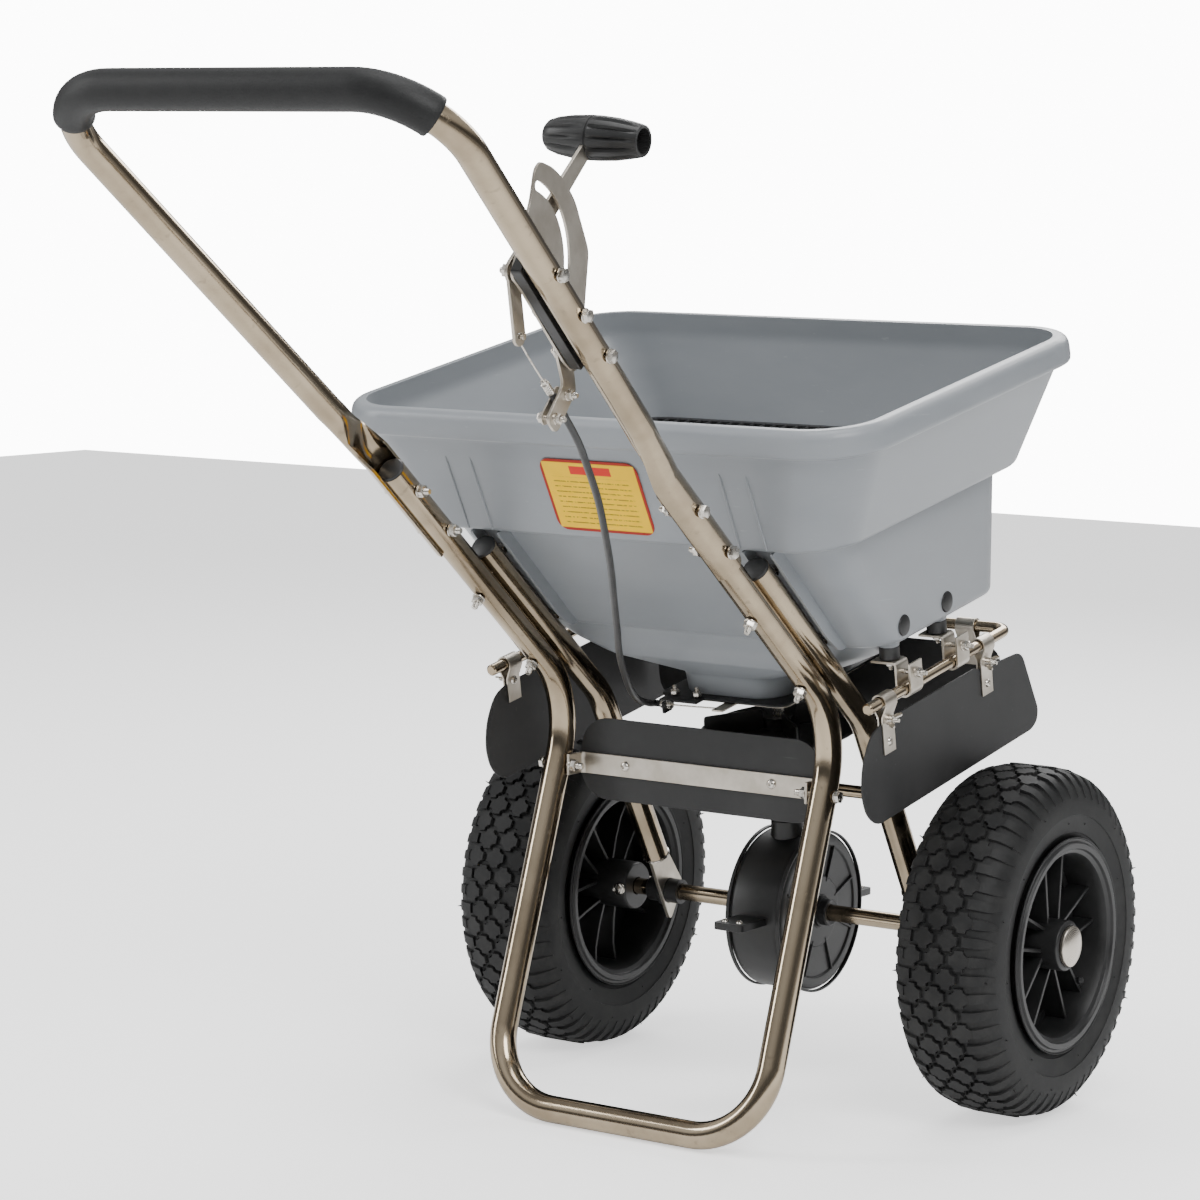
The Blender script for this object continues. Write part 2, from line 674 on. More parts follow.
def stand():
    bend_y, bend_z = stand_bend()
    side = [(LEG_X, FOOT_Y, TUBE_R), (LEG_X, bend_y, bend_z), (LEG_X, STAND_TOP_Y, slope_z(STAND_TOP_Y))]
    corners = machine([(-x, y, z) for x, y, z in side[::-1]] + side)
    path = bent(corners, (STAND_BEND, FOOT_BEND, FOOT_BEND, STAND_BEND), 18)
    piece("stand", pipe(path, TUBE_R), TUBE, "frame", ["stand_frame"])
    plugs = [tube_plug(end, -down_slope) for end in (path[0], path[-1])]
    piece("stand_plugs", plugs, MOULDED, "frame")


def struts():
    bend_y, bend_z = strut_bend()
    c, s = math.cos(STRUT_SLOPE), math.sin(STRUT_SLOPE)
    reach, edge = STRUT_STOP + PLATE_LAP, TUBE_R - TUBE_WALL / 2
    lap = [(-reach * c + way * edge * s, axle.z + reach * s + way * edge * c) for way in (-1, 1)]
    outline = rounded([lap[0], (0.002, axle.z - 0.0315), (0.0235, axle.z + 0.0055), lap[1]], 0.007)
    for word, side in SIDES:
        x = side * LEG_X
        corners = machine([(x, STRUT_TOP_Y, slope_z(STRUT_TOP_Y, TUBE_SPACE)), (x, bend_y, bend_z),
                           (x, -STRUT_STOP * c, axle.z + STRUT_STOP * s)])
        path = bent(corners, (STRUT_BEND,), 18)
        piece(f"strut_{word}_tube", pipe(path, TUBE_R), TUBE, "frame", [f"strut_{word}"])
        bore = circle((0, axle.z), PLATE_BORE, 32)
        low, high = x - PLATE_THICK / 2, x + PLATE_THICK / 2
        plate = placed(slab(outline, low, high, [bore]), MACHINE @ SIDE_VIEW)
        piece(f"strut_{word}_plate", plate, PLATE, "frame", chamfer=0.0005)
        bead = [(0.0118, -0.0016), (0.0135, -0.0006), (0.0137, 0.0008), (0.0125, 0.0020)]
        weld = placed(ring(bead, 40), axes_at(path[-1], path[-1] - path[-2]))
        piece(f"strut_{word}_weld", weld, BOLT, "frame")
        piece(f"strut_{word}_plug", tube_plug(path[0], -down_slope), MOULDED, "frame")
        dark = [(0.0, 0.0004), (0.0030, 0.0004), (0.0040, 0.0), (0.0, 0.0)]
        spot = Vector((x, STRUT_HOLE_Y, slope_z(STRUT_HOLE_Y, TUBE_SPACE))) + square_up * (TUBE_R - 0.0003)
        hole = placed(lathe(dark, 20), MACHINE @ axes_at(spot, square_up))
        piece(f"strut_{word}_hole", hole, MOULDED, "frame")


def handle_path():
    """The left side's corners, and the loop between the two sides' pressed ends."""
    side = [(LEG_X, HANDLE_END_Y), (LEG_X, CRIMP_LOW_Y), (handle_x(CRIMP_HIGH_Y), CRIMP_HIGH_Y),
            (GRIP_HALF, GRIP_Y)]
    right = [Vector((x, y, slope_z(y))) for x, y in side]
    left = mirrored(right)
    return left, bent([left[2], left[3], right[3], right[2]], (HANDLE_BEND,) * 2, 18)


def handle():
    """One tube whose ends are pressed to lie round the outside of the stand's."""
    left, middle = handle_path()
    steps = 12
    crimp = [i / steps for i in range(steps)]
    shares = [1.0, 1.0] + [1 - (3 - 2 * t) * t * t for t in crimp[1:]]
    rise = [left[0], left[1]] + [left[1].lerp(left[2], t) for t in crimp[1:]]
    points = rise + middle + mirrored(rise)[::-1]
    shares = shares + [0.0] * len(middle) + shares[::-1]
    inner, outer = TUBE_R + 2 * GAP, TUBE_R + 2 * GAP + 2 * TUBE_WALL
    rings = []
    for point, share, (_, s, u) in zip(points, shares, directions(points, (1, 0, 0))):
        way = 1 if s.x * point.x > 0 else -1
        outline = []
        for i in range(TUBE_SIDES):
            angle = math.tau * (i + 0.5) / TUBE_SIDES
            a, b = math.cos(angle), math.sin(angle)
            radius = outer if way * a > 0 else inner
            outline.append((TUBE_R * a * (1 - share) + way * abs(a) * radius * share,
                            b * (TUBE_R * (1 - share) + radius * share)))
        rings.append([MACHINE @ (point + s * a + u * b) for a, b in outline])
    piece("handle", loft(rings), TUBE, "frame", ["handle_tube"], smooth=50)

    bare_steps = 8                 # of each bend, between the leg and the grip's end
    path = middle[bare_steps:-bare_steps]
    inward = (path[1] - path[0]).normalized()
    ends = [(0.0, GRIP_R - 0.0028), (0.0005, GRIP_R - 0.0006), (0.0018, GRIP_R)]
    near = [path[0] + inward * along for along, _ in ends]
    path = near + path[1:-1] + mirrored(near)[::-1]
    radii = [r for _, r in ends] + [GRIP_R] * (len(path) - 6) + [r for _, r in ends[::-1]]
    piece("grip", pipe(machine(path), radii, 48), FOAM, "frame", ["handle_grip"])


def frame_bolts():
    """Those of handle to stand, strut to stand and strap to leg."""
    outer, reach = TUBE_R + GAP + 2 * TUBE_WALL + 0.0016, TUBE_R + SEAT
    for word, side in SIDES:
        for place, y in HANDLE_BOLTS_Y.items():
            name = f"handle_bolt_{word}_{place}"
            start = MACHINE @ Vector((side * (LEG_X + outer), y, slope_z(y)))
            parts = bolt_parts(start, (-side, 0, 0), outer + reach, tail=0.0050, turn=0.3 + y * 9)
            piece(f"{name}_set", parts, BOLT, "frame", [name])
        for place, y in STRUT_BOLTS_Y.items():
            start = MACHINE @ (Vector((side * LEG_X, y, slope_z(y))) + square_up * (TUBE_SPACE + reach))
            parts = bolt_parts(start, -square_up, TUBE_SPACE + 2 * reach, tail=0.0060, turn=0.2 + side * 0.3)
            nodes = [f"strut_bolt_{word}"] if place == "lower" else []
            piece(f"strut_bolt_{word}_{place}_set", parts, BOLT, "frame", nodes)
        start = MACHINE @ Vector((side * (LEG_X + TUBE_R + 0.0006), LEG_BOLT_Y, LEG_BOLT_Z))
        parts = bolt_parts(start, (-side, 0, 0), 2 * TUBE_R + 0.0046, tail=0.0070, turn=0.5)
        piece(f"leg_bolt_{word}_set", parts, BOLT, "frame")


def strap_and_guard():
    half = LEG_X - TUBE_R - 0.0030
    flap = STRAP_Y - STRAP_FLAP
    corners = [Vector((-half, flap, 0)), Vector((-half, STRAP_Y, 0)), Vector((half, STRAP_Y, 0)),
               Vector((half, flap, 0))]
    path = [(p.x, p.y) for p in bent(corners, (STRAP_BEND, STRAP_BEND), 6)]
    bar = placed(strip(path, STRAP_THICK, STRAP_Z - STRAP_TALL / 2, STRAP_Z + STRAP_TALL / 2), MACHINE)
    piece("strap", bar, PLATE, "frame", ["rear_strap"], chamfer=0.0006)
    rear = STRAP_Y + STRAP_THICK / 2 + GAP
    outline = round_box(GUARD_HALF, GUARD_LOW, GUARD_HIGH, GUARD_ROUND, 10)
    sheet = placed(slab(outline, -rear - GUARD_THICK, -rear), MACHINE @ REAR_VIEW)
    piece("guard", sheet, SHEET, "frame", ["rear_guard"], chamfer=0.0006)
    screws = []
    z = STRAP_Z + 0.0005
    for x in (-STRAP_SCREW_X, STRAP_SCREW_X):
        screws += screw_parts(MACHINE @ Vector((x, STRAP_Y - STRAP_THICK / 2, z)), (0, -1, 0))
        nut = MACHINE @ axes_at((x, rear + GUARD_THICK, z), (0, 1, 0))
        screws.append(placed(hexagon(0.010, 0.0045), nut))
    piece("strap_screws", screws, BOLT, "frame")
    y = -(BRACE_Z - axle.z) / math.tan(STRUT_SLOPE)
    reach, chamfer = LEG_X - TUBE_R, 0.0012
    stops = [(-reach, BRACE_R - chamfer), (-reach + chamfer, BRACE_R), (reach - chamfer, BRACE_R),
             (reach, BRACE_R - chamfer)]
    bar = pipe(machine([(x, y, BRACE_Z) for x, _ in stops]), [r for _, r in stops], 28, (0, 0, 1))
    piece("brace", bar, TUBE, "frame", ["cross_bar"])


# ---- hopper: (w, half width, v at the rear, v at the front, corner radius) in the head ------------
OUTLET = (0.405, 0.056, -0.058, 0.100, 0.030)
OUTLET_TOP = (0.425, 0.058, -0.060, 0.102, 0.032)
FUNNEL = (0.445, 0.135, -0.085, 0.110, 0.045)
STEP_2_IN = (0.478, 0.190, -0.090, 0.113, 0.032)
STEP_2_OUT = (0.478, 0.203, -0.102, 0.125, 0.038)
STEP_1_IN = (0.598, 0.209, -0.201, 0.139, 0.044)
STEP_1_OUT = (0.598, 0.226, -0.218, 0.156, 0.051)
UNDER_LIP = (0.694, 0.271, -0.250, 0.172, 0.058)
LIP_LOW = (0.694, 0.283, -0.262, 0.182, 0.064)
LIP_HIGH = (0.714, 0.282, -0.261, 0.181, 0.064)
LIP_TOP = (0.719, 0.277, -0.256, 0.176, 0.060)
WALL = 0.003
BULGE = (0.460, 0.168, -0.0885, 0.1120, 0.040)
SADDLE_SIDE = [(-0.1005, 0.4795), (-0.2000, 0.5965), (-0.2160, 0.5965), (-0.1340, 0.4970), (-0.1150, 0.4795)]
SADDLE_SPACE = 0.0006
HANGER_V = (-0.070, 0.018)
BOSS_X = 0.188
PLUG_V, PLUG_W = (-0.068, 0.012), 0.494
NOTICE_FOOT, NOTICE_HEAD = Vector((-0.0039, -0.2206, 0.6067)), Vector((-0.0039, -0.2457, 0.6787))
NOTICE_WIDE, NOTICE_ROUND = 0.1046, 0.0110
SCREEN_LOW, SCREEN_HIGH, SCREEN_BORDER = 0.6085, 0.6175, 0.007
CLOTH_W, CLOTH_PITCH, CLOTH_R = 0.6148, 0.0125, 0.0014


def section(values, shrink=0.0, lift=0.0):
    """A level of the hopper moved inwards and up."""
    w, half, rear, front, radius = values
    return (w + lift, half - shrink, rear + shrink, front - shrink, max(radius - shrink, 0.005))


def softened(levels, reach, steps=4):
    """The levels with a curve in place of each sharp one."""
    made = [levels[0]]
    for before, level, after in zip(levels, levels[1:], levels[2:]):
        shares = [min(0.45, reach / max(math.dist(level[:2], other[:2]), reach)) for other in (before, after)]
        near, far = ([a + (b - a) * share for a, b in zip(level, other)]
                     for share, other in zip(shares, (before, after)))
        for i in range(steps + 1):
            t = i / steps
            made.append(tuple(n * (1 - t) ** 2 + c * 2 * t * (1 - t) + f * t * t
                              for n, c, f in zip(near, level, far)))
    made.append(levels[-1])
    return made


def hopper_ring(level):
    w, half, rear, front, radius = level
    middle = (rear + front) / 2
    outline = round_box(half, rear - middle, front - middle, radius, 12)
    return [HEAD @ Vector((x, v + middle, w)) for x, v in outline]


def hopper():
    """The tub: one wall drawn up its outside and down its inside, with its saddles, bosses and ribs."""
    body = [OUTLET, OUTLET_TOP, FUNNEL, BULGE, STEP_2_IN, STEP_2_OUT, STEP_1_IN, STEP_1_OUT]
    outside = softened([*body, UNDER_LIP, LIP_LOW, LIP_HIGH, LIP_TOP, section(LIP_TOP, 2 * WALL, 0.0002)],
                       0.006)
    inside = [section(LIP_TOP, 3 * WALL), section(UNDER_LIP, WALL, WALL)]
    inside += [section(level, WALL, WALL) for level in body[:0:-1]] + [section(OUTLET, WALL)]
    inside = softened(inside, 0.006)
    shell = loft([hopper_ring(level) for level in outside + inside])
    ends = [face for face in shell.faces if len(face.verts) > 4]
    loops = [list(face.edges) for face in ends]
    bmesh.ops.delete(shell, geom=ends, context="FACES_ONLY")
    bmesh.ops.bridge_loops(shell, edges=loops[0] + loops[1])
    parts = [shell]
    side_view = HEAD @ SIDE_VIEW
    flank = rounded(SADDLE_SIDE, 0.006)
    for side in (-1, 1):
        for inward in (-1, 1):
            near = side * LEG_X + inward * (TUBE_R + SADDLE_SPACE)
            far = near + inward * WALL
            parts.append(placed(slab(flank, min(near, far), max(near, far)), side_view))
        for v in HANGER_V:
            boss = [(0.0, 0.4740), (0.0090, 0.4740), (0.0096, 0.4746), (0.0104, 0.4800), (0.0, 0.4800)]
            parts.append(placed(lathe(boss, 32), HEAD @ Matrix.Translation((side * BOSS_X, v, 0))))
        for x in (0.1335, 0.1605):
            ends = [(0.600, -0.2187), (0.606, -0.2208), (0.668, -0.2415), (0.674, -0.2433)]
            points = [HEAD @ Vector((side * x, v, w)) for w, v in ends]
            parts.append(pipe(points, [0.0004, 0.0012, 0.0012, 0.0004], 10))
    piece("hopper_tub", parts, HOPPER, "frame", ["hopper"], smooth=38)


def hopper_fittings():
    plugs, posts = [], []
    for side in (-1, 1):
        for v in PLUG_V:
            spot = HEAD @ Vector((side * 0.2040, v, PLUG_W))
            profile = [(0.0, 0.0022), (0.0070, 0.0021), (0.0094, 0.0012), (0.0100, 0.0), (0.0, -0.0005)]
            plugs.append(placed(lathe(profile, 32), axes_at(spot, (side, 0, 0))))
        for v in HANGER_V:
            profile = [(0.0, 0.4620), (0.0088, 0.4620), (0.0095, 0.4627), (0.0095, 0.4733), (0.0090, 0.4740),
                       (0.0, 0.4740)]
            posts.append(placed(lathe(profile, 32), HEAD @ Matrix.Translation((side * BOSS_X, v, 0))))
    piece("hopper_plugs", plugs, MOULDED, "frame")
    piece("hanger_posts", posts, MOULDED, "frame")


def notice():
    """The label on the hopper's rear wall, with its width and height kept for its print."""
    rise = NOTICE_HEAD - NOTICE_FOOT
    half = rise.length / 2
    outline = [(x, y + half) for x, y in round_box(NOTICE_WIDE / 2, -half, half, NOTICE_ROUND, 6)]
    sheet = slab(outline, 0.0002, 0.0006)
    run_layer, turn_layer = (sheet.verts.layers.float.new(name) for name in ("run", "turn"))
    for vert in sheet.verts:
        vert[run_layer], vert[turn_layer] = vert.co.x / NOTICE_WIDE + 0.5, vert.co.y / rise.length
    outward = Vector((1, 0, 0)).cross(rise)
    piece("notice", placed(sheet, HEAD @ axes_at(NOTICE_FOOT, outward, (1, 0, 0))), LABEL, "frame")


def screen():
    """Woven wire cloth in a flat border, on the hopper's upper ledge."""
    _, half, rear, front, radius = section(STEP_1_OUT, WALL + 0.002)
    outline, hole = (round_box(half - inset, rear + inset, front - inset, radius - inset, 8)
                     for inset in (0.0, SCREEN_BORDER))
    parts = [placed(slab(outline, SCREEN_LOW, SCREEN_HIGH, [hole]), HEAD)]
    for along, low, high, low_2, high_2 in ((0, -half, half, rear, front), (1, rear, front, -half, half)):
        count = int((high_2 - low_2 - 0.016) / CLOTH_PITCH)
        first = (low_2 + high_2) / 2 - count * CLOTH_PITCH / 2
        for i in range(count + 1):
            at = first + i * CLOTH_PITCH
            corner = max(0.0, radius - min(at - low_2, high_2 - at))
            inset = 0.004 + radius - math.sqrt(max(radius * radius - corner * corner, 0.0))
            ends = [(low + inset, at), (high - inset, at)]
            w = CLOTH_W + along * 0.0016
            points = [HEAD @ Vector((*(end if along == 0 else end[::-1]), w)) for end in ends]
            parts.append(pipe(points, CLOTH_R, 8, (0, 0.3, 1)))
    piece("screen", parts, SCREEN, "frame", ["hopper_screen"])


# ---- gate, impeller and gearbox ------------------------------------------------------------------
GATE_TOP = 0.405 - GAP


def gate():
    half, rear, front = 0.070, -0.070, 0.108
    middle = (rear + front) / 2
    port = [(x, v + 0.065) for x, v in round_box(0.026, -0.019, 0.019, 0.004, 3)]
    way = [(x, v + SHAFT_V) for x, v in round_box(0.008, -0.008, 0.008, 0.0078, 4)]
    outline = [(x, v + middle) for x, v in round_box(half, rear - middle, front - middle, 0.012, 6)]
    fixed = [placed(slab(outline, GATE_TOP - 0.002, GATE_TOP, [port, way]), HEAD)]
    clamp = round_box(0.0075, -0.0075, 0.0040, 0.002, 3)
    fixed.append(placed(slab([(v - 0.084, w + 0.400) for v, w in clamp], -0.052, -0.050), HEAD @ SIDE_VIEW))
    fixed.append(placed(block((-0.0600, -0.0835, GATE_TOP - 0.0022), (-0.0180, -0.0600, GATE_TOP - 0.0002)),
                        HEAD))
    piece("gate_plate", fixed, SHEET, "frame", ["gate_base"], chamfer=0.0004)
    nuts = []
    for x in (-0.051, -0.026):
        spot = HEAD @ Vector((x, -0.0686, GATE_TOP + 0.0012))
        up = HEAD.to_3x3() @ Vector((0, 0, 1))
        nuts += [placed(hexagon(0.0080, 0.0040), axes_at(spot, up)),
                 placed(thread(0.0022, 0.0035, 0.0085), axes_at(spot, up))]
        nuts += screw_parts(HEAD @ Vector((x, -0.0686, GATE_TOP - 0.0024)), -up, 0.0042, 0.0024)
    piece("gate_bolts", nuts, BOLT, "frame")
    middle, half = 0.008, 0.060
    window = [(x + 0.0352, v + 0.065) for x, v in round_box(0.026, -0.019, 0.019, 0.004, 3)]
    slot = [(x + 0.009, v + SHAFT_V) for x, v in round_box(0.0340, -0.008, 0.008, 0.0078, 4)]
    outline = [(x + middle, v + 0.0135) for x, v in round_box(half, -0.0785, 0.0785, 0.010, 5)]
    slide = [placed(slab(outline, GATE_TOP - 0.0043, GATE_TOP - 0.0023, [window, slot]), HEAD)]
    slide.append(placed(block((0.004, -0.092, GATE_TOP - 0.0042), (0.016, -0.058, GATE_TOP - 0.0024)), HEAD))
    piece("gate_shutter", slide, PLATE, "gate", ["gate_slide"], chamfer=0.0003)


def impeller():
    spot = HEAD @ Matrix.Translation((0, SHAFT_V, 0.345))
    profile = [(0.0064, 0.0), (0.0765, 0.0), (0.0780, 0.0010), (0.0780, 0.0022), (0.0768, 0.0030),
               (0.0200, 0.0030),
               (0.0160, 0.0050), (0.0155, 0.0150), (0.0064, 0.0150)]
    parts = [placed(ring(profile, 72), spot)]
    for i in range(4):
        fin = slab(rounded([(0.013, 0.002), (0.075, 0.002), (0.0735, 0.0235), (0.017, 0.0235)], 0.003),
                   -0.0012, 0.0012)
        turn = Matrix.Rotation(math.tau * i / 4 + math.pi / 4, 4, "Z") @ Matrix.Rotation(math.pi / 2, 4, "X")
        parts.append(placed(fin, spot @ turn))
    piece("spinner", parts, MOULDED, "impeller", ["impeller"], chamfer=0.0004)
    spot = HEAD @ Matrix.Translation((0, SHAFT_V, 0.4493))
    hub = placed(lathe([(0.0, 0.0), (0.0083, 0.0), (0.0090, 0.0008), (0.0090, 0.0082), (0.0082, 0.0090),
                        (0.0, 0.0090)], 36), spot)
    arms = [(-0.040, 0.0018), (-0.0392, 0.0025), (0.0392, 0.0025), (0.040, 0.0018)]
    cross = placed(pipe([(x, 0, 0.0045) for x, _ in arms], [r for _, r in arms], 20, (0, 0, 1)), spot)
    piece("stirrer", [hub, cross], BOLT, "impeller", ["agitator"])


def gearbox():
    centre = MACHINE @ Matrix.Translation((0, 0, axle.z)) @ X_AXIS
    rise = [(0.0126, 0.0300), (0.0160, 0.0300), (0.0165, 0.0290), (0.0340, 0.0288), (0.0350, 0.0275),
            (0.0640, 0.0270),
            (0.0655, 0.0285), (0.0720, 0.0290), (0.0750, 0.0280), (0.0772, 0.0245), (0.0780, 0.0215),
            (0.0780, 0.0)]
    shell = rise + [(r, -along) for r, along in rise[-2::-1]]
    parts = [placed(ring(shell, 96), centre)]
    for way in (-1, 1):
        ear = rounded([(0.016, 0.070), (0.016, 0.124), (-0.016, 0.124), (-0.016, 0.070)], 0.006)
        ear = [(x, way * y) for x, y in ear]
        parts.append(placed(slab(ear, axle.z - 0.0035, axle.z + 0.0035), MACHINE))
    parts.append(placed(ring([(0.0770, -0.0300), (0.0792, -0.0300), (0.0792, -0.0262), (0.0770, -0.0262)],
                             96), centre))
    parts.append(placed(ring([(0.0770, 0.0262), (0.0792, 0.0262), (0.0792, 0.0300), (0.0770, 0.0300)], 96),
                        centre))
    neck = [(0.0, 0.072), (0.0185, 0.072), (0.0165, 0.080), (0.0160, 0.0930), (0.0172, 0.0940),
            (0.0172, 0.0985), (0.0160, 0.1000),
            (0.0, 0.1000)]
    lean = MACHINE @ Matrix.Translation((0, 0, axle.z)) @ Matrix.Rotation(TILT, 4, "X")
    parts.append(placed(lathe(neck, 48), lean))
    for i in range(8):
        angle = math.tau * (i + 0.5) / 8
        rib = block((0.030, -0.0010, -0.0295), (0.0660, 0.0010, 0.0295))
        parts.append(placed(rib, centre @ Matrix.Rotation(angle, 4, "Z")))
    piece("gear_case", parts, MOULDED, "frame", ["gearbox_upper", "gearbox_lower"],
          chamfer=0.0006)
    screws = []
    for way in (-1, 1):
        for x in (-0.008, 0.008):
            spot = MACHINE @ Vector((x, way * 0.114, axle.z + 0.0036))
            screws += screw_parts(spot, (0, 0, 1), 0.0036, 0.0024)
    piece("gear_case_screws", screws, BOLT, "frame")
    rings = []
    for side in (-1, 1):
        sleeve = [(0.0084, 0.0240), (0.0084, 0.0415), (0.0118, 0.0420), (0.0130, 0.0408), (0.0130, 0.0335),
                  (0.0150, 0.0330),
                  (0.0150, 0.0303), (0.0122, 0.0303), (0.0122, 0.0240)]
        rings.append(placed(ring([(r, side * along) for r, along in sleeve], 40), centre))
    piece("gear_case_sleeves", rings, MOULDED, "frame",
          ["gearbox_bush_left", "gearbox_bush_right"])
    for word, side in SIDES:
        sleeve = [(0.0084, 0.1310), (0.0084, 0.1670), (0.0115, 0.1670), (0.0122, 0.1662), (0.0122, 0.1528),
                  (0.0150, 0.1524),
                  (0.0150, 0.1494), (0.0122, 0.1490), (0.0122, 0.1312)]
        sleeve = placed(ring([(r, side * along) for r, along in sleeve], 40), centre)
        piece(f"axle_sleeve_{word}", sleeve, MOULDED, "frame", [f"axle_bush_{word}"])
    rod = [(0.0, -0.2980), (0.0070, -0.2980), (0.0080, -0.2968), (0.0080, 0.2968), (0.0070, 0.2980),
           (0.0, 0.2980)]
    piece("axle_rod", placed(lathe(rod, 40), centre), TUBE, "axle", ["axle"])


# ---- wheels --------------------------------------------------------------------------------------
BLOCKS_ROUND = 29


def tread_sector():
    """One pitch of the tread, laid out at the top of the wheel."""
    bm = bmesh.new()
    pitch = math.tau / BLOCKS_ROUND

    def add(points_low, points_high):
        low, high = ([bm.verts.new(p) for p in points] for points in (points_low, points_high))
        count = len(low)
        bm.faces.new(high)
        for i in range(count):
            bm.faces.new((low[i - 1], low[i], high[i], high[i - 1]))

    for row in (-2, -1, 0, 1, 2):
        middle_x, tilt = row * 0.0122, math.radians(13.0) * (abs(row) == 2) * (1 if row > 0 else -1)
        turn = pitch / 2 * (row % 2)
        top = WHEEL_R - (0.0022 if abs(row) == 2 else 0.0)
        place = (Matrix.Rotation(turn, 4, "X") @ Matrix.Translation((middle_x, 0,
                                                                     top)) @ Matrix.Rotation(tilt, 4, "Y"))
        corners = ((0.0100, 0.0036), (0.0096, 0.0042), (0.0073, 0.0043), (0.0062, 0.0055), (0.0043, 0.0066),
                   (0.0042, 0.0094),
                   (0.0036, 0.0098))
        spots = []
        for side_x, side_y in ((1, 1), (-1, 1), (-1, -1), (1, -1)):
            spots += [(side_x * x, side_y * y) for x, y in corners[::side_x * side_y]]

        def at(share, lift):
            return [place @ Vector((x * share, y * share, lift - (y * share) ** 2 / 2 / WHEEL_R)) for x,
                    y in spots]

        add(at(1.02, -0.0045), at(0.97, -0.0002))
    for side, share in ((-1, 0.0), (-1, 0.5), (1, 0.0), (1, 0.5)):
        first = (0.0338, 0.1612, 0.0090) if share == 0.0 else (0.0262, 0.1631, 0.0092)
        stations = (first, (0.0375, 0.1598, 0.0092), (0.0425, 0.1560, 0.0088), (0.0475, 0.1496, 0.0070),
                    (0.0508, 0.1395, 0.0012))
        lugs = []
        for x, r, wide in stations:
            lift = 0.0034 if r > 0.145 else 0.0008
            lugs.append([Vector((side * (x - lift * 0.5 * (r < 0.16)), sign * wide / 2 * 1.15,
                                 r - lift)) for sign in (-1, 1)]
                        + [Vector((side * x, sign * wide / 2, r)) for sign in (1, -1)])
        turn = Matrix.Rotation(pitch * share, 4, "X")
        rows = [[bm.verts.new(turn @ p) for p in points] for points in lugs]
        bm.faces.new(rows[0])
        bm.faces.new(rows[-1][::-1])
        for low, high in zip(rows, rows[1:]):
            for i in range(4):
                bm.faces.new((low[i - 1], low[i], high[i], high[i - 1]))
    return bm


def tyre_shape(x):
    profile = [(0.0365, 0.0920), (0.0420, 0.0965), (0.0452, 0.1035), (0.0462, 0.1060), (0.0470, 0.1062),
               (0.0484, 0.1130),
               (0.0502, 0.1225), (0.0510, 0.1228), (0.0510, 0.1290), (0.0506, 0.1340), (0.0500, 0.1400),
               (0.0470, 0.1478),
               (0.0420, 0.1535), (0.0350, 0.1580), (0.0250, 0.1600), (0.0130, 0.1612)]
    whole = [(r, along) for along, r in profile] + [(r, -along) for along, r in profile[::-1]]
    bore = [(0.0935, -0.0300), (0.0960, 0.0), (0.0935, 0.0300)]
    return placed(ring(whole + bore, 128), x)


def nubs(centre):
    """Short moulding hairs on the sidewall and shoulder."""
    parts = []
    for side in (-1, 1):
        for i in range(22):
            angle = math.tau * (i + 0.37 * (i % 3)) / 22
            r, x, reach = ((0.1150, 0.0488, 0.0012), (0.1345, 0.0506, 0.0014),
                           (0.1500, 0.0462, 0.0042))[i % 3]
            hair = [(0.0, 0.0), (0.0010, 0.0), (0.0006, reach * 0.5), (0.0003, reach), (0.0, reach)]
            lean = Vector((side, 0, 0.35 if i % 3 < 2 else 1.2))
            turn = Matrix.Rotation(angle, 4, "X")
            parts.append(placed(lathe(hair, 6), centre @ turn @ axes_at((side * x, 0, r), lean)))
    return parts


